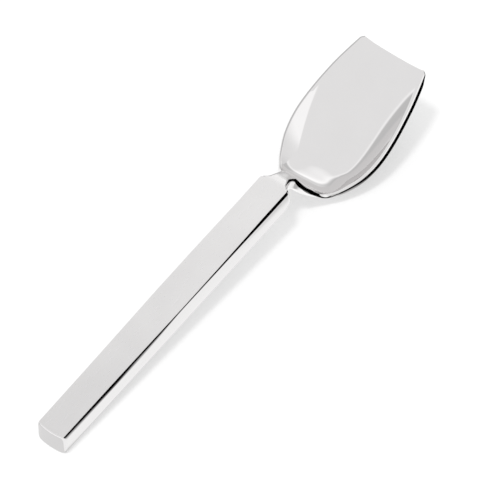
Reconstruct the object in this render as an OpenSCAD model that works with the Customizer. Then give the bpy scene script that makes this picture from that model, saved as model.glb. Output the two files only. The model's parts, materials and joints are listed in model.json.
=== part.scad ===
// Ice cream spoon with a hollow bar handle and a shovel-shaped bowl.
// It lies on a table: the butt's lower edge and the bowl's underside touch z = 0.
// +X runs from the butt to the front edge, +Y to the spoon's left, and +Z is up.

/* [Handle] */
// Length of the handle from the butt to the shoulder
handle_len = 85.8; // [70:0.2:110]
// Overall width at the butt
butt_w = 8.5; // [8:0.1:11]
// Overall width at the shoulder
shoulder_w = 9.3; // [8.5:0.1:12]
// Thickness of the handle
handle_h = 6.2; // [5.8:0.1:8]
// Inset of the top face's edge from the side
roll_inset = 0.6; // [0.3:0.05:0.6]
// Height of the rolled edge under the top face
roll_h = 0.9; // [0.6:0.05:1.6]
// Radius of the underside's long edges
under_r = 0.9; // [0.85:0.05:1.4]
// Bulge of the butt end at its middle
butt_crown = 0.5; // [0.2:0.05:1]

/* [Handle build] */
// Wall of the pressed half shells
shell_wall = 0.8; // [0.6:0.05:0.85]
// Height of the seam above the underside
seam_z = 3; // [2:0.1:3.8]
// Thickness of the brazed joints
braze_t = 0.15; // [0.1:0.05:0.3]
// Thickness of the butt plate at its corners
plate_t = 1.4; // [1:0.1:2.5]
// Length of the butt plate's spigot
spigot_len = 2; // [1:0.1:4]
// Clearance of the spigot, core and tang
fit_gap = 0.05; // [0.02:0.01:0.1]

/* [Tang and bolster] */
// Thickness of the bolster that closes the handle
bolster_t = 3; // [2:0.1:5]
// Rise of the bolster's underside towards the neck
bolster_rise = 1; // [0.4:0.1:1.6]
// Length of the tang behind the bolster
tang_len = 45; // [20:1:55]
// Width of the tang
tang_w = 3.6; // [2.5:0.1:5]
// Thickness of the tang
tang_h = 2.6; // [1.6:0.1:3.2]

/* [Neck] */
// Length of the shoulder's step between the bolster and the neck
step_len = 0.25; // [0.15:0.05:0.4]
// Distance of the waist from the shoulder
waist_at = 3.2; // [2.4:0.1:4]
// Width of the waist
waist_w = 4.2; // [3.4:0.1:6]
// Drop of the waist's top below the top face
waist_drop = 0.8; // [0.2:0.1:1.2]
// Thickness of the waist
waist_h = 5.2; // [4.4:0.1:5.8]
// Distance of the crest from the shoulder
crest_at = 5.7; // [5:0.1:6.6]
// Width of the crest
crest_w = 4.8; // [4:0.1:6.6]
// Drop of the crest below the top face
crest_drop = 2; // [1.4:0.1:2.6]
// Thickness of the neck under the crest
crest_h = 6; // [5:0.1:7]
// Thickness of the throat, halfway down to the bowl
throat_h = 5; // [4:0.1:6]
// Thickness of the heel, where the neck turns into the bowl
heel_h = 2.9; // [2:0.1:3.6]
// Rise of the neck's lower edges above its underside
edge_rise = 0.7; // [0.4:0.05:1]
// Inset of the neck's lower edges from its upper ones
edge_inset = 0.45; // [0.2:0.05:0.8]

/* [Bowl] */
// Distance of the rim's low point from the shoulder
rim_low_at = 13.2; // [12:0.1:15]
// Drop of the rim's low point below the top face
rim_drop = 11.7; // [10:0.1:13]
// Width of the bowl at the rim's low point
low_w = 19.2; // [16:0.1:22]
// Distance of the widest section from the shoulder
widest_at = 26.6; // [24:0.1:30]
// Width of the bowl at its widest
bowl_w = 26.6; // [22:0.1:32]
// Distance of the front edge from the shoulder
front_at = 48.2; // [42:0.2:60]
// Width of the front edge
front_w = 19.2; // [12:0.1:24]
// Drop of the front corners below the top face
front_drop = 0.65; // [0.2:0.05:2]
// Sag of the front edge at its middle
front_sag = 0.75; // [0.3:0.05:1.5]
// Distance of the floor's low point from the shoulder
floor_at = 20.5; // [18:0.1:23]
// Drop of the floor's low point below the top face
floor_drop = 15.1; // [13.5:0.1:17]
// Thickness of the bowl's floor
floor_t = 1.1; // [0.8:0.05:1.6]
// Thickness of the bowl's rim
rim_t = 1.3; // [0.9:0.05:1.6]
// Bulge of the rim's outer face
rim_round = 0.25; // [0.1:0.05:0.4]

/* [Hidden] */
$fn = 64;
steel = [0.80, 0.80, 0.79];
satin = [0.74, 0.74, 0.73];
braze = [0.82, 0.78, 0.68];
filler = [0.45, 0.42, 0.38];

// Lengthwise stops of the handle's build, measured from the butt
shell_from = plate_t + braze_t;
shell_to = handle_len - bolster_t - braze_t;
taper = atan((shoulder_w - butt_w) / 2 / handle_len);
roll_r = (pow(roll_inset, 2) + pow(roll_h, 2)) / (2 * roll_inset);
crown_r = (pow(butt_w / 2, 2) + pow(butt_crown, 2)) / (2 * butt_crown);
tang_z = handle_h / 2;

// Sampling of the bowl's skin: points across, points down an edge, steps between stations
ACROSS = 18;
EDGE = 5;
STEPS = 5;
FLATNESS = 0.3;

function mix(a, b, share) = a + (b - a) * share;
function total(list, upto) = upto < 1 ? 0 : list[upto - 1] + total(list, upto - 1);

// Stations of the neck and bowl, measured from the shoulder and down from the top face.
// A station is [floor x z, rim x y z, underside x z, lower rim edge x y z].
crease_half = shoulder_w / 2 - roll_inset;
root_at = mix(step_len, waist_at, 0.3);
throat_at = mix(crest_at, rim_low_at, 0.31);
heel_at = mix(crest_at, rim_low_at, 0.6);
haunch_at = mix(rim_low_at, widest_at, 0.45);
nose_at = mix(widest_at, front_at, 0.53);
root_half = mix(crease_half, waist_w / 2, 0.62);
throat_half = mix(crest_w / 2, low_w / 2, 0.24);
heel_half = mix(crest_w / 2, low_w / 2, 0.63);
haunch_half = mix(low_w / 2, bowl_w / 2, 0.76);
nose_half = mix(front_w / 2, bowl_w / 2, 0.67);
throat_rim = mix(crest_drop, rim_drop, 0.64);
heel_rim = mix(crest_drop, rim_drop, 0.98);
haunch_rim = mix(rim_drop, front_drop, 0.125);
widest_rim = mix(rim_drop, front_drop, 0.353);
nose_rim = mix(rim_drop, front_drop, 0.715);
front_floor = front_drop + front_sag;
throat_floor = mix(crest_drop, floor_drop, 0.38);
heel_floor = mix(crest_drop, floor_drop, 0.745);
back_floor = mix(rim_drop, floor_drop, 0.86);
widest_floor = mix(floor_drop, front_floor, 0.165);
nose_floor = mix(floor_drop, front_floor, 0.56);
crest_under_at = mix(waist_at, crest_at, 0.75);
STATIONS = [
    [step_len, 0, step_len, crease_half - step_len, 0,
        step_len, -waist_h, step_len, crease_half - edge_inset, edge_rise - waist_h],
    [root_at, -0.2 * waist_drop, root_at, root_half, -0.2 * waist_drop,
        root_at, -waist_h - 0.2 * waist_drop, root_at, root_half - edge_inset, edge_rise - waist_h],
    [waist_at, -waist_drop, waist_at, waist_w / 2, -waist_drop,
        waist_at, -waist_drop - waist_h, waist_at, waist_w / 2 - edge_inset, edge_rise - waist_drop - waist_h],
    [crest_at, -crest_drop, crest_at, crest_w / 2, -crest_drop - edge_rise / 4,
        crest_under_at, -crest_drop - crest_h,
        crest_under_at, crest_w / 2 - edge_inset, edge_rise - crest_drop - crest_h],
    [mix(crest_at, floor_at, 0.2), -throat_floor, throat_at, throat_half, -throat_rim,
        mix(crest_at, floor_at, 0.1), -throat_floor - throat_h,
        mix(crest_at, floor_at, 0.12), throat_half - 2 * edge_inset, 2 * edge_rise - throat_floor - throat_h],
    [mix(crest_at, floor_at, 0.4), -heel_floor, heel_at, heel_half, -heel_rim,
        mix(crest_at, floor_at, 0.3), -heel_floor - heel_h, heel_at, heel_half, -heel_rim - rim_t],
    [mix(crest_at, floor_at, 0.67), -back_floor, rim_low_at, low_w / 2, -rim_drop,
        mix(crest_at, floor_at, 0.65), -back_floor - floor_t, rim_low_at, low_w / 2, -rim_drop - rim_t],
    [floor_at, -floor_drop, haunch_at, haunch_half, -haunch_rim,
        floor_at, -floor_drop - floor_t, haunch_at, haunch_half, -haunch_rim - rim_t],
    [mix(widest_at, front_at, 0.055), -widest_floor, widest_at, bowl_w / 2, -widest_rim,
        mix(widest_at, front_at, 0.07), -widest_floor - floor_t, widest_at, bowl_w / 2, -widest_rim - rim_t],
    [mix(nose_at, front_at, 0.06), -nose_floor, nose_at, nose_half, -nose_rim,
        mix(nose_at, front_at, 0.1), -nose_floor - floor_t, nose_at, nose_half, -nose_rim - rim_t],
    [front_at, -front_floor, front_at, front_w / 2, -front_drop,
        front_at, -front_floor - rim_t, front_at, front_w / 2, -front_drop - rim_t],
];

// Smooth curve through the stations, with the knots spaced by the distance between stations
LAST = len(STATIONS) - 1;
SPANS = [for (i = [0:LAST - 1]) norm(STATIONS[i + 1] - STATIONS[i])];
KNOTS = [for (i = [0:LAST]) total(SPANS, i)];
function slope(i) =
    let (a = max(i - 1, 0), b = min(i + 1, LAST))
    (STATIONS[b] - STATIONS[a]) / (KNOTS[b] - KNOTS[a]);
function between(i, t) =
    (2 * t * t * t - 3 * t * t + 1) * STATIONS[i]
    + (t * t * t - 2 * t * t + t) * SPANS[i] * slope(i)
    + (3 * t * t - 2 * t * t * t) * STATIONS[i + 1]
    + (t * t * t - t * t) * SPANS[i] * slope(i + 1);
SECTIONS = concat(
    [for (i = [0:LAST - 1], k = [0:STEPS - 1]) between(i, k / STEPS)],
    [STATIONS[LAST]]
);

// Closed outline of one section: over the top from left to right, down the right edge,
// back under from right to left, and up the left edge
function sweep(v) = (1 - FLATNESS) * v * v + FLATNESS * pow(v, 4);
function rib(mid, edge, v) = [
    mix(mid[0], edge[0], sweep(v)), edge[1] * v, mix(mid[1], edge[2], sweep(v))
];
function across(k) = 1 - 2 * k / ACROSS;
function outline(s) =
    let (
        mid = [s[0], s[1]],
        rim = [s[2], s[3], s[4]],
        under = [s[5], s[6]],
        edge = [s[7], s[8], s[9]],
        bulge = min(rim_round, norm(rim - edge) / 5),
        side = [for (k = [1:EDGE - 1]) mix(rim, edge, k / EDGE) + [0, bulge * sin(180 * k / EDGE), 0]]
    )
    ring([for (k = [0:ACROSS]) rib(mid, rim, across(k))], side,
        [for (k = [0:ACROSS]) rib(under, edge, across(k))]);
function flip(p) = [p[0], -p[1], p[2]];
function ring(top, side, bottom) = concat(
    top,
    [for (p = side) flip(p)],
    [for (k = [ACROSS:-1:0]) bottom[k]],
    [for (k = [EDGE - 2:-1:0]) side[k]]
);

// Outline of a flat-topped bar with the handle's own edges, and of the tang
function bar_ring(x, half, rise = 0) = ring(
    [for (k = [0:ACROSS]) [x, (half - roll_inset) * across(k), 0]],
    [
        [x, half - roll_r + sqrt(pow(roll_r, 2) - pow(roll_h / 2, 2)), -roll_h / 2],
        [x, half, -roll_h],
        [x, half, rise + under_r - handle_h],
        [x, half - under_r * (1 - cos(45)), rise + under_r * (1 - cos(45)) - handle_h]
    ],
    [for (k = [0:ACROSS]) [x, (half - under_r) * across(k), rise - handle_h]]
);
TANG_ROUND = 0.3;
function tang_half(share) = tang_w / 2 - TANG_ROUND * (1 - sin(180 * share));
function tang_ring(x) = ring(
    [for (k = [0:ACROSS]) [x, tang_half(0) * across(k), tang_z + tang_h / 2 - handle_h]],
    [for (k = [1:EDGE - 1]) [x, tang_half(k / EDGE), tang_z + tang_h * (0.5 - k / EDGE) - handle_h]],
    [for (k = [0:ACROSS]) [x, tang_half(0) * across(k), tang_z - tang_h / 2 - handle_h]]
);
function bar_half(x) = shoulder_w / 2 + x * tan(taper);
RINGS = concat(
    [tang_ring(-bolster_t - tang_len), tang_ring(-bolster_t)],
    [for (share = [1, 0.5, 0.2, 0])
        bar_ring(-share * bolster_t, bar_half(-share * bolster_t), bolster_rise * pow(1 - share, 2))],
    [for (s = SECTIONS) outline(s)]
);
ROUND = len(RINGS[0]);
LOW = ACROSS + EDGE;

// Flat end of a ring whose first point has index a: strips from top to bottom, then the two edges
function end_face(a) = concat(
    [for (k = [0:ACROSS - 1])
        each [[a + k, a + k + 1, a + LOW + ACROSS - k], [a + k + 1, a + LOW + ACROSS - k - 1, a + LOW + ACROSS - k]]],
    [for (k = [ACROSS:LOW - 2]) [a + k, a + k + 1, a + LOW]],
    [for (k = [LOW + ACROSS:ROUND - 2]) [a + k, a + k + 1, a]]
);
function turned(faces) = [for (f = faces) [f[2], f[1], f[0]]];
SKIN = [for (r = RINGS, p = r) p + [handle_len, 0, handle_h]];

// The spoon lies tilted by the slope of the line from the butt's lower edge to the bowl's underside
UNDERSIDE = [for (s = SECTIONS) [handle_len + s[5], handle_h + s[6]]];
tilt = max([for (p = UNDERSIDE) atan(-p[1] / p[0])]);
front_x = max([for (p = RINGS[len(RINGS) - 1]) (p[0] + handle_len) * cos(tilt) - (p[2] + handle_h) * sin(tilt)]);
back_x = -handle_h * sin(tilt);

module lay_down() {
    translate([-(front_x + back_x) / 2, 0, 0])
        rotate([0, -tilt, 0])
            children();
}

// Half of the handle's section, from far inside out to the side at y = 0, shrunk by a wall
module half_section(wall) {
    reach = shoulder_w;
    corner = max(under_r, wall);
    side_top = roll_r > wall ? handle_h - roll_h : handle_h - wall;
    translate([-reach, corner])
        square([reach - wall, side_top - corner]);
    translate([-reach, wall])
        square([reach - corner, handle_h / 2]);
    translate([-reach, corner])
        square([reach - roll_r, handle_h - wall - corner]);
    if (corner > wall)
        translate([-corner, corner])
            circle(corner - wall);
    if (roll_r > wall)
        intersection() {
            translate([-roll_r, handle_h - roll_h])
                circle(roll_r - wall);
            translate([-2 * roll_r, corner])
                square([2 * roll_r, handle_h - wall - corner]);
        }
}

// One side of the tapered bar, from the butt past the shoulder
module half_bar(wall) {
    translate([0, butt_w / 2, 0])
        rotate([0, 0, taper])
            translate([-handle_h, 0, 0])
                rotate([90, 0, 90])
                    linear_extrude(handle_len + 2 * handle_h)
                        half_section(wall);
}

module bar(wall) {
    intersection() {
        half_bar(wall);
        mirror([0, 1, 0])
            half_bar(wall);
    }
}

// Everything from one place along the handle to another, between two heights
module stretch(from, to, low = 0, high = handle_h) {
    translate([from, -shoulder_w, low])
        cube([to - from, 2 * shoulder_w, high - low]);
}

module hollow_bar(from, to, low = 0, high = handle_h) {
    difference() {
        intersection() {
            bar(0);
            stretch(from, to, low, high);
        }
        bar(shell_wall);
    }
}

module bowl() {
    color(steel)
        lay_down()
            polyhedron(
                points = SKIN,
                faces = concat(
                    end_face(0),
                    [for (r = [0:len(RINGS) - 2], k = [0:ROUND - 1])
                        let (a = r * ROUND, n = (k + 1) % ROUND)
                        each [[a + k, a + ROUND + k, a + n], [a + n, a + ROUND + k, a + ROUND + n]]],
                    turned(end_face((len(RINGS) - 1) * ROUND))
                )
            );
}

module upper_shell() {
    color(satin)
        lay_down()
            hollow_bar(shell_from, shell_to, seam_z + braze_t / 2, handle_h);
}

module lower_shell() {
    color(steel)
        lay_down()
            hollow_bar(shell_from, shell_to, 0, seam_z - braze_t / 2);
}

module butt_plate() {
    color(steel)
        lay_down() {
            intersection() {
                bar(0);
                stretch(0, plate_t);
                translate([crown_r, 0, 0])
                    cylinder(handle_h, r = crown_r, $fn = 128);
            }
            intersection() {
                bar(shell_wall + fit_gap);
                stretch(plate_t / 2, shell_from + spigot_len);
            }
        }
}

module left_seam() {
    color(braze)
        lay_down()
            intersection() {
                hollow_bar(shell_from, shell_to, seam_z - braze_t / 2, seam_z + braze_t / 2);
                cube([handle_len, shoulder_w, handle_h]);
            }
}

module right_seam() {
    mirror([0, 1, 0])
        left_seam();
}

module butt_braze() {
    color(braze)
        lay_down()
            hollow_bar(plate_t, shell_from);
}

module shoulder_braze() {
    color(braze)
        lay_down()
            hollow_bar(shell_to, shell_to + braze_t);
}

module handle_core() {
    color(filler)
        lay_down()
            difference() {
                intersection() {
                    bar(shell_wall + fit_gap);
                    stretch(shell_from + spigot_len + fit_gap, shell_to + braze_t - fit_gap);
                }
                translate([
                    handle_len - bolster_t - tang_len - fit_gap,
                    -tang_w / 2 - fit_gap,
                    tang_z - tang_h / 2 - fit_gap
                ])
                    cube([tang_len + 2 * fit_gap, tang_w + 2 * fit_gap, tang_h + 2 * fit_gap]);
            }
}

bowl();
upper_shell();
lower_shell();
butt_plate();
left_seam();
right_seam();
butt_braze();
shoulder_braze();
handle_core();
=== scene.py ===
import json
from math import asin, cos, radians, sin

import bpy
import numpy as np
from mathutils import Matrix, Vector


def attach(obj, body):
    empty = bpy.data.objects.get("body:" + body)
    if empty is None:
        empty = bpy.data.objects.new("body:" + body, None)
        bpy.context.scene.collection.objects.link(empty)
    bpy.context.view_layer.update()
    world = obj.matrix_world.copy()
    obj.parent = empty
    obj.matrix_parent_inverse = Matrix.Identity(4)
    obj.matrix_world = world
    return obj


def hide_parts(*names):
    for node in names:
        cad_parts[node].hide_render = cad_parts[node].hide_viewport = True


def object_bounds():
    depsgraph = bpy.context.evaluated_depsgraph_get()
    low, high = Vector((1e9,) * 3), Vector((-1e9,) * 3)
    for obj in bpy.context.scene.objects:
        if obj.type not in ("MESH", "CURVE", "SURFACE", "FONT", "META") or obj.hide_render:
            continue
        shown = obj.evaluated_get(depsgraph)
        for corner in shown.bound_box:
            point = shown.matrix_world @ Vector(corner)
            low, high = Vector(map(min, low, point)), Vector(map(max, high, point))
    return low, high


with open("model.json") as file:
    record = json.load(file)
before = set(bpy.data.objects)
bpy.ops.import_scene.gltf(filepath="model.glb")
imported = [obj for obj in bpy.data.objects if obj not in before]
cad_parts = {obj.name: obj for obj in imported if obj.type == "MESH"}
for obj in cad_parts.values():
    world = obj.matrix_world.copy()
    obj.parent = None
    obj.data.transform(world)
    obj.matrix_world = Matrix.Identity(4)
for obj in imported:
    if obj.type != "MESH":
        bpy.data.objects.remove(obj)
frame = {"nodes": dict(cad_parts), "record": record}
cad_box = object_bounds()

# ---- Bowl, neck, bolster and tang ----
# One forging of stainless steel. The bowl is dished and mirror-polished, with a crowned rim. The neck is ground
# to a waist, the bolster closes the front of the handle, and the tang runs back into the handle's filler.
MM = 0.001
handle_len, handle_h = 85.8, 6.2
butt_w, shoulder_w = 8.5, 9.3
under_r = 0.9
bolster_t, bolster_rise = 3.0, 1.0
tang_len, tang_w, tang_h, tang_bow = 45.0, 3.6, 2.6, 0.3
shoulder_r = 0.6
nose_r, nose_drop, corner_r = 0.4, 0.15, 1.0
lean = asin(-frame["record"]["mounts"][0]["axis"][0])
butt_at = cad_box[0][0] / MM + handle_h * sin(lean)
# Points of an outline across the top, over one rolled edge, down one side and round one lower edge
ACROSS, ROLL, SIDE, UNDER = 65, 14, 3, 8
BOTTOM = ACROSS + ROLL + SIDE + UNDER


def lay_down(points):
    """Handle frame in mm to row frame in metres: turned by the handle's lean and moved along to the butt."""
    x, y, z = np.moveaxis(np.asarray(points, float), -1, 0)
    return MM * np.stack([x * cos(lean) - z * sin(lean) + butt_at, y, x * sin(lean) + z * cos(lean)], -1)


def mix(a, b, share):
    """Straight blend from a to b."""
    return a + (b - a) * share


def closed_ring(top, side, bottom):
    """One closed outline: over the top from left to right, down the right side, back under, up the left side."""
    return np.concatenate([top, side * [1, -1, 1], bottom[..., ::-1, :], side[..., ::-1, :]], -2)


def bar_half(x):
    """Half width of the handle at a distance from the butt: a straight taper from the butt to the shoulder."""
    return mix(butt_w, shoulder_w, x / handle_len) / 2


# Rolled edge along the handle, by distance from the butt: inset and height, slope where it leaves the top and
# where it reaches the side, and how far the side's upper half leans in
rolls = np.array([
    [0, 0.52, 1.00, 59.5, 65, 0.0],
    [20, 0.50, 0.98, 60, 65.5, 0.0],
    [28, 0.46, 1.00, 62, 68, 0.0],
    [36, 0.42, 0.85, 64, 74, 0.06],
    [44, 0.35, 0.48, 60, 90, 0.18],
    [52, 0.38, 0.54, 58, 90, 0.18],
    [60, 0.43, 0.60, 56.5, 90, 0.18],
    [68, 0.52, 0.70, 55.5, 90, 0.20],
    [76, 0.66, 0.85, 54.5, 90, 0.22],
    [86, 0.68, 0.85, 54, 90, 0.22],
])


def roll_at(x):
    """Inset, height, slopes and lean of the rolled edge, straight between the rows of its table."""
    return [np.interp(x, rolls[:, 0], column) for column in rolls.T[1:]]


def side_lean(x, z):
    """How far the side leans in at height z: nothing up to half the handle's height, then by the square of the
    rise above it."""
    _, height, _, _, lean_in = roll_at(x)
    return lean_in * np.clip((z - handle_h / 2) / (handle_h / 2 - height), 0, 1) ** 2


def bar_side(x, half, low):
    """Left side of the handle's outline. The rolled edge is a quadratic curve that leaves the top face at one slope
    and reaches the side at another. Buffing left it broad at the butt, tight in the middle and full at the
    shoulder. The lower edge is a quarter round."""
    inset, height, leave, reach, lean_in = roll_at(x)
    inset = inset - lean_in
    leave, reach = np.radians(leave), np.radians(reach)
    pull = (inset * np.sin(reach) - height * np.cos(reach)) / np.sin(reach - leave)
    t = np.linspace(0, 1, ROLL + 1)[1:]
    roll_y = -inset * (1 - t) ** 2 + 2 * t * (1 - t) * (pull * np.cos(leave) - inset)
    roll_z = -2 * t * (1 - t) * pull * np.sin(leave) - height * t**2
    turn = np.linspace(0, np.pi / 2, UNDER + 1)[:-1]
    level = np.linspace(handle_h - height, under_r + low, SIDE + 2)[1:-1]
    y = half + np.concatenate([roll_y - lean_in, -side_lean(x, level), under_r * (np.cos(turn) - 1)])
    z = np.concatenate([handle_h + roll_z, level, low + under_r * (1 - np.sin(turn))])
    return np.stack([0 * y + x, y, z], -1)


def bar_ring(x, trim=0.0, rise=0.0):
    """The handle's outline at x: flat top between the rolled edges, the two sides, and the flat underside."""
    half = bar_half(x) - trim
    v = np.linspace(1, -1, ACROSS)
    top = np.stack([0 * v + x, (half - roll_at(x)[0]) * v, 0 * v + handle_h], -1)
    bottom = np.stack([0 * v + x, (half - under_r) * v, 0 * v + rise + trim], -1)
    return closed_ring(top, bar_side(x, half, rise + trim), bottom)


def tang_ring(x):
    """The tang's outline: a flat bar halfway up the handle, its sides bowed by half a sine wave."""
    v = np.linspace(1, -1, ACROSS)
    a = np.linspace(0, 1, BOTTOM - ACROSS + 2)[1:-1]
    bow = tang_bow * (1 - np.sin(np.pi * a))
    side = np.stack([0 * a + x, tang_w / 2 - bow, handle_h / 2 + tang_h * (0.5 - a)], -1)
    top = np.stack([0 * v + x, (tang_w / 2 - tang_bow) * v, 0 * v + (handle_h + tang_h) / 2], -1)
    return closed_ring(top, side, top - [0, 0, tang_h])


# Rows along the neck and bowl, in mm from the shoulder and down from the top face:
# floor x z, rim x y z, underside x z, lower rim edge x y z
crease = shoulder_w / 2 - shoulder_r
rows = np.array([
    [0.25, 0.0, 0.25, crease - 0.25, 0.0, 0.25, -5.2, 0.25, crease - 0.45, -4.5],
    [1.14, -0.16, 1.14, 2.84, -0.16, 1.14, -5.36, 1.14, 2.39, -4.5],
    [3.2, -0.8, 3.2, 2.1, -0.8, 3.2, -6.0, 3.2, 1.65, -5.3],
    [5.7, -2.5, 5.7, 2.55, -3.0, 5.08, -8.0, 5.08, 1.95, -7.3],
    [8.0, -8.6, 8.05, 4.65, -8.1, 7.18, -11.98, 7.3, 3.6, -10.8],
    [10.6, -12.9, 10.2, 6.94, -11.4, 10.14, -14.66, 10.2, 6.94, -12.81],
    [15.62, -14.62, 13.2, 9.6, -11.7, 15.32, -15.72, 13.2, 9.6, -13.0],
    [20.5, -15.1, 19.23, 12.41, -10.32, 20.5, -16.2, 19.23, 12.41, -11.62],
    [27.79, -12.84, 26.6, 13.4, -7.8, 28.11, -13.94, 26.6, 13.4, -9.1],
    [38.66, -6.85, 38.05, 12.26, -3.85, 39.06, -8.53, 38.05, 12.26, -5.15],
    [48.2, -1.4, 48.2, 10.0, -0.65, 48.2, -2.7, 48.2, 9.8, -1.95],
])
STEPS = 14


def along(rows):
    """Smooth curve through the rows: cubic Hermite spans whose knots are spaced by the distance between rows."""
    span = np.linalg.norm(np.diff(rows, axis=0), axis=1)
    knot = np.concatenate([[0], np.cumsum(span)])
    a = np.maximum(np.arange(len(rows)) - 1, 0)
    b = np.minimum(np.arange(len(rows)) + 1, len(rows) - 1)
    slope = (rows[b] - rows[a]) / (knot[b] - knot[a])[:, None]
    i = np.repeat(np.arange(len(span)), STEPS)
    t = np.tile(np.arange(STEPS) / STEPS, len(span))[:, None]
    curve = ((2 * t**3 - 3 * t**2 + 1) * rows[i] + (t**3 - 2 * t**2 + t) * span[i, None] * slope[i]
             + (3 * t**2 - 2 * t**3) * rows[i + 1] + (t**3 - t**2) * span[i, None] * slope[i + 1])
    return np.vstack([curve, rows[-1:]])


# Share of v^4 in the ribs, by distance from the shoulder
share_at = [6, 9, 12, 17, 24, 30, 38, 48]
flat_share = [0.3, 0.62, 0.62, 0.42, 0.36, 0.33, 0.25, 0.1]


def rib(middle, edge, v):
    """Rib across a section: y runs evenly to the edge, x and z sweep from the middle by a mix of v^2 and v^4. The
    share of v^4 is larger at the heel, where the walls are steep, and smaller towards the shallow front."""
    sweep = mix(v**2, v**4, np.interp(edge[:, :1], share_at, flat_share))
    return np.stack([mix(middle[:, None, 0], edge[:, None, 0], sweep), edge[:, None, 1] * v,
                     mix(middle[:, None, 1], edge[:, None, 2], sweep)], -1)


def ease(share):
    """Smooth start and stop: 3 s^2 - 2 s^3 between 0 and 1."""
    share = np.clip(share, 0, 1)
    return share**2 * (3 - 2 * share)


# Rim outline out and down from the top surface: lengths of its seven runs, and the slopes between which they turn
neck_run = np.array([0.26, 0.26, 0.12, 0.26, 0.30, 0.20, 0.15])
bowl_run = np.array([0.12, 0.32, 0.32, 0.06, 0.46, 0.46, 0.12])
neck_slope = np.array([2, 12, 30, 46, 56, 68, 80, 90])
bowl_slope = np.array([-20, 24, 34, 46, 54, 62, 70, 120])
LAND_RUNS = 3


def rim_profile(x):
    """Rim outline out and down from the top surface, summed from its slope: it turns through the given slopes over
    the given lengths. The neck has a full round, fullest where it turns down. The bowl has a crowned land that
    starts from a point, then a chamfer that is narrow at the back and the front corner, then a tight turn."""
    x = x[:, None]
    dished = ease((x - 7.5) / 4)
    full = 1 + 1.1 * ease((x - 5) / 1.5) * (1 - ease((x - 7.2) / 2.5))
    land_in = ease((x - 8) / 8)
    land = mix(1 - 0.8 * ease((x - 5) / 3), mix(0.2, 1, land_in), dished)
    front = mix(0.15, 1, ease((rows[-1, 2] + 0.3 - x) / 4))
    edge = full * mix(1, mix(0.85, 1, ease((x - 11) / 5)), dished) * front
    on_land = np.arange(len(neck_slope)) < LAND_RUNS
    length = mix(neck_run, bowl_run, dished) * np.where(on_land[:-1], land, edge)
    slope = mix(neck_slope, bowl_slope, np.where(on_land, land_in, dished))
    early, late = mix(slope[:, :-1], slope[:, 1:], 0.25), mix(slope[:, :-1], slope[:, 1:], 0.75)
    turn = np.radians(np.stack([early, late], -1).reshape(len(slope), -1))
    step = np.repeat(length / 2, 2, axis=1)
    walk = np.cumsum(step[..., None] * np.stack([np.cos(turn), np.sin(turn)], -1), 1)
    walk = np.concatenate([0 * walk[:, :1], walk], 1)
    # The land ends 0.21 mm inside the rim's row and 0.22 mm below it, and further in and higher where the rim is full
    land_end = np.hstack([-0.21 * full, 0.47 - 0.25 * full])
    return walk + (land_end - walk[:, 2 * LAND_RUNS])[:, None]


# Round between the rim and the underside: how far it reaches inwards, and up, but not past halfway
round_in, round_up = 0.5, 0.6


def bowl_rings(s):
    """Outlines of the neck and bowl. The rim profile stands square to the rim's own path, the top rib hangs between
    the rim's two inner ends, and a small round leads from the rim to the underside rib."""
    rim, edge = s[:, 2:5], s[:, 7:10]
    path = np.gradient(rim, axis=0)
    path /= np.linalg.norm(path, axis=1, keepdims=True)
    path = mix(np.array([1.0, 0, 0]), path, ease((rim[:, :1] - 3.2) / 3))
    path /= np.linalg.norm(path, axis=1, keepdims=True)
    out = [0, 1, 0] - path[:, 1:2] * path
    out /= np.linalg.norm(out, axis=1, keepdims=True)
    down = np.cross(out, path)
    profile = rim_profile(rim[:, 0])
    side = rim[:, None] + profile[..., :1] * out[:, None] + profile[..., 1:] * down[:, None]
    v = np.linspace(1, -1, ACROSS)
    top = rib(s[:, 0:2], side[:, 0], v[None])
    bottom = rib(s[:, 5:7], edge, (1 - round_in / s[:, 8, None]) * v)
    foot = side[:, -1]
    reach = np.linalg.norm(edge - foot, axis=1)[:, None]
    heel = mix(foot, edge, np.maximum(0.5, 1 - round_up / reach))
    w = np.linspace(0, 1, SIDE + 2)[1:-1, None]
    q = np.linspace(0, 1, UNDER + 1)[:-1, None]
    heel, edge, last = heel[:, None], edge[:, None], bottom[:, :1]
    side = np.concatenate([side[:, 1:], mix(foot[:, None], heel, w),
                           (1 - q) ** 2 * heel + 2 * q * (1 - q) * edge + q**2 * last], 1)
    return closed_ring(top, side, bottom)


def wall_faces(count, around):
    """Four-sided faces from each point of an outline to the next point, and on to the next outline."""
    k = np.arange(around)
    n = (k + 1) % around
    a = np.arange(count - 1)[:, None] * around
    return np.stack([a + k, a + n, a + around + n, a + around + k], -1).reshape(-1, 4)


def skin(rings):
    """Faces between neighbouring outlines, with both ends closed by strips from the top row to the bottom row."""
    count, around = rings.shape[:2]
    top = np.arange(ACROSS - 1)
    strip = np.stack([top, top + 1, BOTTOM + ACROSS - 2 - top, BOTTOM + ACROSS - 1 - top], -1)
    ends = [*strip, np.arange(ACROSS - 1, BOTTOM + 1), np.append(np.arange(BOTTOM + ACROSS - 1, around), 0)]
    far = (count - 1) * around
    near_end, far_end = [f[::-1].tolist() for f in ends], [(f + far).tolist() for f in ends]
    return wall_faces(count, around).tolist() + near_end + far_end


SHARP = radians(35)


def steel_piece(name, points, faces, finishes, second=()):
    """New piece in the row frame, smooth except where faces meet at a sharp angle. The faces that are listed as
    second take its second finish."""
    mesh = bpy.data.meshes.new(name)
    mesh.from_pydata(lay_down(points).reshape(-1, 3).tolist(), [], faces)
    mesh.shade_smooth()
    mesh.set_sharp_from_angle(angle=SHARP)
    for material in finishes:
        mesh.materials.append(material)
    finish_of = np.zeros(len(faces), np.int32)
    finish_of[np.asarray(second, int)] = 1
    mesh.polygons.foreach_set("material_index", finish_of)
    piece = bpy.data.objects.new(name, mesh)
    bpy.context.scene.collection.objects.link(piece)
    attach(piece, "root")
    return piece


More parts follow.
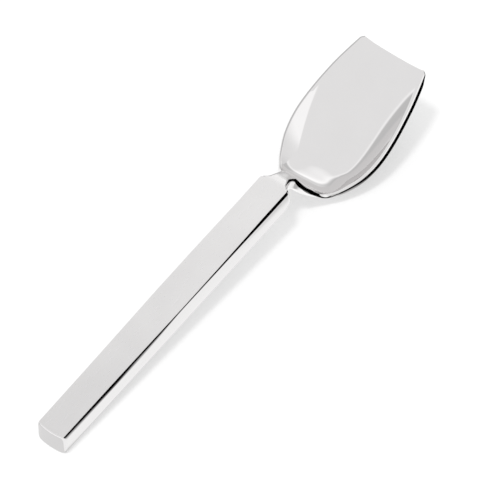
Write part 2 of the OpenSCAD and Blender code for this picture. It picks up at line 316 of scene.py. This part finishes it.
def top_faces(around, first, last):
    """Numbers of the faces on the flat top between two outlines."""
    return (np.arange(first, last)[:, None] * around + np.arange(ACROSS - 1)).ravel()


def feed(tree, socket, value):
    """Joins a socket to another one, or sets it to a plain value."""
    if isinstance(value, bpy.types.NodeSocket):
        tree.links.new(value, socket)
    else:
        socket.default_value = value


def joiner(tree):
    """A way to add nodes to a tree: each socket named, or numbered as in _0, is fed its value."""
    def add(kind, operation=None, **sockets):
        node = tree.nodes.new("ShaderNode" + kind)
        if operation:
            node.operation = operation
        for name, value in sockets.items():
            feed(tree, node.inputs[int(name[1:]) if name[1:].isdigit() else name.replace("_", " ")], value)
        return node.outputs[0]

    return add


def blank_finish(name):
    """Empty material, its Principled shader and a way to add nodes."""
    material = bpy.data.materials.new(name)
    material.use_nodes = True
    return material, material.node_tree.nodes["Principled BSDF"].inputs, joiner(material.node_tree)


def place_on(tree):
    """Object coordinates of the piece."""
    return tree.nodes.new("ShaderNodeTexCoord").outputs["Object"]


def set_sockets(material, inputs, **sockets):
    """Feeds the shader's named sockets."""
    for name, value in sockets.items():
        feed(material.node_tree, inputs[name.replace("_", " ")], value)
    return material


def polished_steel(name, dark, light):
    """Mirror polish: a nearly sharp reflection, with the faint cloudiness and wave that buffing leaves."""
    material, inputs, add = blank_finish(name)
    place = place_on(material.node_tree)
    cloud = add("TexNoise", Vector=place, Scale=160.0, Detail=3.0)
    wave = add("TexNoise", Vector=place, Scale=70.0, Detail=1.0)
    return set_sockets(
        material, inputs, Metallic=1.0,
        Base_Color=add("MixRGB", Fac=cloud, Color1=dark, Color2=light),
        Roughness=add("MapRange", Value=cloud, From_Min=0.3, From_Max=0.7, To_Min=0.03, To_Max=0.06),
        Normal=add("Bump", Height=wave, Strength=0.05, Distance=0.0004))


def satin_steel():
    """Satin grind: fine grain along the handle and a blurred reflection, running out to a polish over the neck. Its
    colour is painted lighter towards the shoulder as a sheen, with patches of random tone."""
    material, inputs, add = blank_finish("satin_steel")
    place = place_on(material.node_tree)
    drawn_out = add("Mapping", Vector=place, Scale=(220.0, 5200.0, 5200.0))
    grain = add("TexNoise", Vector=drawn_out, Scale=1.0, Detail=2.0)
    cloud = add("TexNoise", Vector=place, Scale=90.0, Detail=2.0)
    x = add("SeparateXYZ", Vector=place)
    run_out = add("MapRange", Value=x, From_Min=0.019, From_Max=0.0265, To_Min=1.0, To_Max=0.15)
    rough = add("MapRange", Value=grain, From_Min=0.3, From_Max=0.7, To_Min=0.27, To_Max=0.32)
    # painted sheen: the colour lightens steadily from the butt to the shoulder
    painted_sheen_toward_shoulder = add("MapRange", Value=x, From_Min=-0.067, From_Max=0.018, To_Min=0.0, To_Max=1.0)
    patchy = add("MapRange", Value=cloud, From_Min=0.3, From_Max=0.7, To_Min=-0.15, To_Max=0.15)
    # painted sheen plus patches of random tone
    shade = add("Math", "ADD", _0=painted_sheen_toward_shoulder, _1=patchy)
    return set_sockets(
        material, inputs, Metallic=1.0,
        Base_Color=add("MixRGB", Fac=shade, Color1=(0.705, 0.695, 0.695, 1), Color2=(0.81, 0.80, 0.798, 1)),
        Roughness=add("Math", "MULTIPLY", _0=rough, _1=run_out),
        Normal=add("Bump", Height=grain, Strength=0.012, Distance=0.00005))


polished = polished_steel("polished_steel", (0.742, 0.732, 0.732, 1), (0.77, 0.76, 0.76, 1))
satin = satin_steel()
back = handle_len - bolster_t
share = np.linspace(0, 1, 9)
bolster = [tang_ring(back - tang_len), tang_ring(back)]
bolster += [bar_ring(x, 0, bolster_rise * g**2) for x, g in zip(back + share * (bolster_t - shoulder_r), share)]
bolster += [bar_ring(handle_len - shoulder_r * (1 - sin(a)), shoulder_r * (1 - cos(a)), bolster_rise)
            for a in np.radians([20, 40, 60, 78, 90])]
dish = bowl_rings(along(rows)) + [handle_len, 0, handle_h]
# The front edge is rounded over: the last outline steps forward along its surface by a sine while its thickness
# closes by a cosine, and its corners follow a quarter round in plan
gap = dish[-1, 0, 0] - dish[-2, 0, 0]
turn = np.radians([0, 20, 40, 58, 72, 82])[:, None, None]
near = mix(dish[-1], dish[-2], nose_r / gap * (1 - np.sin(turn)))
tops = near[:, ACROSS - 1::-1]
tip = np.stack([np.interp(ring[:, 1], top[:, 1], top[:, 2]) for ring, top in zip(near, tops)])[..., None] - nose_drop
short = corner_r - nose_r * (1 - np.sin(turn))
drawn = 1 - (corner_r - np.sqrt(corner_r**2 - short**2)) / rows[-1, 3]
nose = np.concatenate([near[..., :1], near[..., 1:2] * drawn, mix(tip, near[..., 2:], np.cos(turn))], -1)
rings = np.concatenate([bolster, dish[:-1], nose])
# The satin grind starts in front of the tang's two outlines and runs out over the neck's first four spans
satin_from, satin_to = 2, len(bolster) + 4 * STEPS
bowl = steel_piece("bowl_forging", rings, skin(rings), [polished, satin],
                   top_faces(rings.shape[1], satin_from, satin_to))
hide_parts("bowl")

# ---- Handle shells ----
# Two pressed half shells of stainless steel, brazed along the middle of the sides and ground flush.
# The upper one has a satin top face between polished rolled edges, and the lower one is polished.
shell_wall = 0.8
seam_z, braze_t = 3.0, 0.15
plate_t = 1.4
stops = np.linspace(plate_t + braze_t, back - braze_t, 45)
SEAM_STEPS = 4


def upper_outline(x):
    """From the left seam up over the left roll, across the top, and down to the right seam."""
    side = bar_side(x, bar_half(x), 0)[:ROLL][::-1]
    level = np.linspace(seam_z + braze_t / 2, handle_h - roll_at(x)[1], SEAM_STEPS + 1)[:-1, None]
    side = np.concatenate([np.hstack([0 * level + x, bar_half(x) - side_lean(x, level), level]), side])
    v = np.linspace(1, -1, ACROSS)
    top = np.stack([0 * v + x, (bar_half(x) - roll_at(x)[0]) * v, 0 * v + handle_h], -1)
    return np.concatenate([side, top, side[::-1] * [1, -1, 1]])


def lower_outline(x):
    """From the right seam down the right side, under the handle, and up to the left seam."""
    side = bar_side(x, bar_half(x), 0)[ROLL + SIDE:]
    level = np.linspace(seam_z - braze_t / 2, under_r, SEAM_STEPS + 1)[:-1, None]
    side = np.concatenate([np.hstack([0 * level + x, 0 * level + bar_half(x), level]), side])
    v = np.linspace(-1, 1, ACROSS)
    under = np.stack([0 * v + x, (bar_half(x) - under_r) * v, 0 * v], -1)
    return np.concatenate([side * [1, -1, 1], under, side[::-1]])


def wall_rings(outer):
    """Closed rings of a bent strip: each outer outline, then back along the inner one, which lies one wall inside."""
    step = np.gradient(outer[..., 1:], axis=1)
    inward = np.stack([-step[..., 1], step[..., 0]], -1)
    inner = outer.copy()
    inner[..., 1:] += shell_wall * inward / np.linalg.norm(inward, axis=-1, keepdims=True)
    return np.concatenate([outer, inner[:, ::-1]], 1)


def strip_skin(rings):
    """Faces of a bent strip: walls between rings, and both ends closed from the outer to the inner outline."""
    count, around = rings.shape[:2]
    j = np.arange(around // 2 - 1)
    ends = np.stack([j, j + 1, around - 2 - j, around - 1 - j], -1)
    return np.concatenate([wall_faces(count, around), ends[:, ::-1], ends + (count - 1) * around]).tolist()


rings = wall_rings(np.stack([upper_outline(x) for x in stops]))
upper_shell = steel_piece("upper_half_shell", rings, strip_skin(rings), [polished, satin],
                          top_faces(rings.shape[1], 0, len(stops) - 1) + SEAM_STEPS + ROLL)
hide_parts("upper_shell")

rings = wall_rings(np.stack([lower_outline(x) for x in stops]))
lower_shell = steel_piece("lower_half_shell", rings, strip_skin(rings), [polished])
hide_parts("lower_shell")

# ---- Butt plate ----
# A stamped end plate of stainless steel, brazed to the rear of the shells and centred in them by its spigot.
# Its slightly crowned face stands square to the table, and its edges are broken by polishing.
butt_crown, corner_ease, butt_rake = 0.5, 0.4, 0.6
plate_break = 0.36
face_steps = (0.5, 0.06)
spigot_len, fit_gap = 2.0, 0.05


def drawn_in(ring, by):
    """An outline drawn in evenly towards the handle's middle, in width and in height."""
    half = np.abs(ring[:, 1]).max()
    return ring * [1, 1 - by / half, 1 - 2 * by / handle_h] + [0, 0, by]


turn = np.linspace(np.pi / 2, 0, 7)
outline = bar_ring(0.0)
face = [drawn_in(outline, plate_break * (1 - np.cos(a))) + [plate_break * (1 - np.sin(a)), 0, 0] for a in turn]
face = np.stack([drawn_in(face[0], by) for by in face_steps] + face)
# The face falls back by the square of the distance from its middle, faster at the corners, and is raked by height
u = (face[..., 1:2] / (butt_w / 2)) ** 2
fall = butt_crown * u + corner_ease * u**5 - butt_rake * (1 - face[..., 2:] / handle_h)
face = face + fall * [1, 0, 0]
rear = bar_ring(plate_t)
spigot = drawn_in(rear, shell_wall + fit_gap)
rings = np.stack([*face, rear, spigot, spigot + [braze_t + spigot_len, 0, 0]])
butt_plate = steel_piece("butt_end_plate", rings, skin(rings), [polished, satin],
                         top_faces(rings.shape[1], len(face) - 1, len(face)))
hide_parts("butt_plate")

# ---- Brazed joints ----
# Silver braze in the joints between the shells, the butt plate and the bolster. It is ground and polished
# with the steel, so that the joints hardly show.
braze = polished_steel("polished_braze", (0.74, 0.735, 0.72, 1), (0.77, 0.765, 0.75, 1))


def collar(name, node, x):
    """Thin ring of braze across the handle: the outline at both its ends, the same two drawn in by the wall, and
    back to the first."""
    near, far = bar_ring(x), bar_ring(x + braze_t)
    rings = np.stack([near, far, drawn_in(far, shell_wall), drawn_in(near, shell_wall)])
    count, around = rings.shape[:2]
    faces = wall_faces(count + 1, around) % (count * around)
    piece = steel_piece(name, rings, faces.tolist(), [braze, satin], top_faces(around, 0, 1))
    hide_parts(node)


collar("butt_joint", "butt_braze", plate_t)
collar("shoulder_joint", "shoulder_braze", back - braze_t)


def refinish(node, material):
    """Gives a CAD node that isn't replaced another finish."""
    finishes = frame["nodes"][node].data.materials
    finishes.clear()
    finishes.append(material)


refinish("left_seam", braze)
refinish("right_seam", braze)

# ---- Handle core ----
# Cast mineral filler, poured into the shells as a paste that sets hard. It beds the tang and stops the handle
# ringing, and it is sealed in, so that none of it shows.
filler, inputs, add = blank_finish("cast_filler")
grit = add("TexNoise", Vector=place_on(filler.node_tree), Scale=900.0, Detail=4.0)
set_sockets(filler, inputs, Roughness=0.8,
            Base_Color=add("MixRGB", Fac=grit, Color1=(0.40, 0.37, 0.33, 1), Color2=(0.50, 0.47, 0.43, 1)))
refinish("handle_core", filler)

# ---- Table ----
# Plain white table. The camera sees it white where no shadow falls. The steel sees a painted map on it: white beside
# the spoon, painted shadow under it and painted shade behind the butt, dark further off to the right, and grey
# further off to the left.
reach = 3.0
mesh = bpy.data.meshes.new("table")
corners = [(-reach, -reach, 0), (reach, -reach, 0), (reach, reach, 0), (-reach, reach, 0)]
mesh.from_pydata(corners, [], [(0, 1, 2, 3)])
table = bpy.data.objects.new("table", mesh)
bpy.context.scene.collection.objects.link(table)
paper = bpy.data.materials.new("white_table")
paper.use_nodes = True
tree = paper.node_tree
tree.nodes.remove(tree.nodes["Principled BSDF"])
add = joiner(tree)
place = place_on(tree)
path = tree.nodes.new("ShaderNodeLightPath").outputs


def fade(add, value, start, end, low, high):
    """Straight run from low to high as the value goes from start to end, level outside."""
    return add("MapRange", Value=value, From_Min=start, From_Max=end, To_Min=low, To_Max=high)


def product(add, *values):
    """Values multiplied together."""
    total = values[0]
    for value in values[1:]:
        total = add("Math", "MULTIPLY", _0=total, _1=value)
    return total


def brightest(add, *values):
    """The largest of the values."""
    most = values[0]
    for value in values[1:]:
        most = add("Math", "MAXIMUM", _0=most, _1=value)
    return most


def axes(tree, vector):
    """The three coordinates of a vector."""
    node = tree.nodes.new("ShaderNodeSeparateXYZ")
    feed(tree, node.inputs[0], vector)
    return node.outputs


def measure(tree, operation, vector, other=(0.0, 0.0, 0.0)):
    """One number from a vector: its length, or its dot product with another."""
    node = tree.nodes.new("ShaderNodeVectorMath")
    node.operation = operation
    feed(tree, node.inputs[0], vector)
    feed(tree, node.inputs[1], other)
    return node.outputs["Value"]


WHITE = (1, 1, 1, 1)
butt_line, butt_edge = -0.0662, -0.0655
x, y, _ = axes(tree, place)
aside = add("Math", "ABSOLUTE", _0=y)
# oval under the bowl that holds its painted shadow
bowl_shadow_oval = add("Mapping", Vector=place, Location=(-2.6, 0.0, 0.0), Scale=(55.0, 67.0, 0.0))
far_right = fade(add, measure(tree, "DOT_PRODUCT", place, (-0.17, 1.0, 0.0)), -0.036, -0.014, 0.0, 1.11)
far_left = fade(add, y, 0.014, 0.032, 1.0, 0.56)
# painted shade on the table behind the butt, seen only by the steel
painted_shade_behind_butt = brightest(add, fade(add, x, butt_line, butt_edge, 0.79, 1.0), fade(add, y, -0.0045, -0.0035, 1.0, 0.0))
# painted shadow on the table under the handle, seen only by the steel
painted_shadow_under_handle = brightest(add, fade(add, aside, 0.0042, 0.0053, 0.5, 1.0), fade(add, x, 0.022, 0.026, 0.0, 1.0),
                         fade(add, x, butt_line, butt_edge, 1.0, 0.0))
# painted shadow on the table under the bowl, seen only by the steel
painted_shadow_under_bowl = fade(add, measure(tree, "LENGTH", bowl_shadow_oval), 0.2, 1.05, 0.12, 1.0)
seen_by_steel = product(add, far_right, far_left, painted_shade_behind_butt, painted_shadow_under_handle, painted_shadow_under_bowl)
matt = add("BsdfDiffuse", Color=(0.6, 0.6, 0.6, 1))
camera_lift = add("Math", "MULTIPLY", _0=path["Is Camera Ray"], _1=0.41)
plain = add("AddShader", _0=matt, _1=add("Emission", Color=WHITE, Strength=camera_lift))
mirrored = add("Emission", Color=WHITE, Strength=seen_by_steel)
tree.links.new(add("MixShader", _0=path["Is Glossy Ray"], _1=plain, _2=mirrored),
               tree.nodes["Material Output"].inputs["Surface"])
mesh.materials.append(paper)

# ---- Room and light ----
# A white tent as the steel sees it: pale above, grey low down, a bright panel on the right with the dark room
# under and behind it, and a soft light in front. A lamp overhead casts the shadow.
world = bpy.data.worlds.new("studio")
bpy.context.scene.world = world
world.use_nodes = True
tree = world.node_tree
add = joiner(tree)
gaze = tree.nodes.new("ShaderNodeTexCoord").outputs["Generated"]
x, _, z = axes(tree, gaze)
path = tree.nodes.new("ShaderNodeLightPath").outputs


def sum_of(add, *values):
    """Values added together."""
    total = values[0]
    for value in values[1:]:
        total = add("Math", "ADD", _0=total, _1=value)
    return total


rise = measure(tree, "DOT_PRODUCT", gaze, (-0.2, 0.05, 1.0))
to_front = measure(tree, "DOT_PRODUCT", gaze, (0.81, 0.37, 0.45))
to_right = measure(tree, "DOT_PRODUCT", gaze, (0.55, -1.0, 0.0))
tent = fade(add, rise, 0.36, 0.43, 0.66, 0.98)
tent_hem = product(add, fade(add, rise, 0.38, 0.43, 0.0, 0.16), fade(add, rise, 0.44, 0.50, 1.0, 0.0))
front_light = fade(add, to_front, 0.93, 0.99, 0.0, 0.22)
low_behind = product(add, fade(add, x, -0.80, -0.72, 1.0, 0.0), fade(add, z, 0.44, 0.50, 1.0, 0.0),
                     fade(add, z, 0.3, 0.44, 0.57, 0.35))
above_room = fade(add, z, 0.20, 0.25, 0.0, 1.0)
beside_room = fade(add, to_right, 0.55, 0.65, 1.0, 0.0)
walls = product(add, sum_of(add, tent, tent_hem, front_light, low_behind), brightest(add, above_room, beside_room))
panel = product(add, above_room, fade(add, x, 0.2, 0.8, 1.22, 0.86))
on_right = fade(add, to_right, 0.735, 0.765, 0.0, 1.0)
steel_sees = add("MixRGB", Fac=on_right, Color1=walls, Color2=panel)
light = add("MixRGB", Fac=path["Is Glossy Ray"], Color1=(0.85, 0.85, 0.85, 1), Color2=steel_sees)
light = add("MixRGB", Fac=path["Is Camera Ray"], Color1=light, Color2=WHITE)
tree.links.new(light, tree.nodes["Background"].inputs["Color"])

lamp = bpy.data.lights.new("overhead", "AREA")
lamp.shape = "DISK"
lamp.size = 0.14
lamp.energy = 2.1
overhead = bpy.data.objects.new("overhead", lamp)
overhead.location = (-0.15, 0.05, 0.8)
overhead.rotation_euler = (radians(-3.6), radians(-10.6), 0)
overhead.visible_glossy = False
bpy.context.scene.collection.objects.link(overhead)

# ---- Camera ----
# High view from behind the butt and to the right, with a long lens.
look_down, heading = 52.729, -51.820
view = bpy.data.cameras.new("camera")
view.sensor_width = 36.0
view.lens = 277.6
camera = bpy.data.objects.new("camera", view)
camera.location = (-0.42133, -0.33529, 0.71840)
camera.rotation_euler = (radians(90 - look_down), 0, radians(heading))
bpy.context.scene.collection.objects.link(camera)
bpy.context.scene.camera = camera
bpy.context.scene.view_settings.view_transform = "Standard"
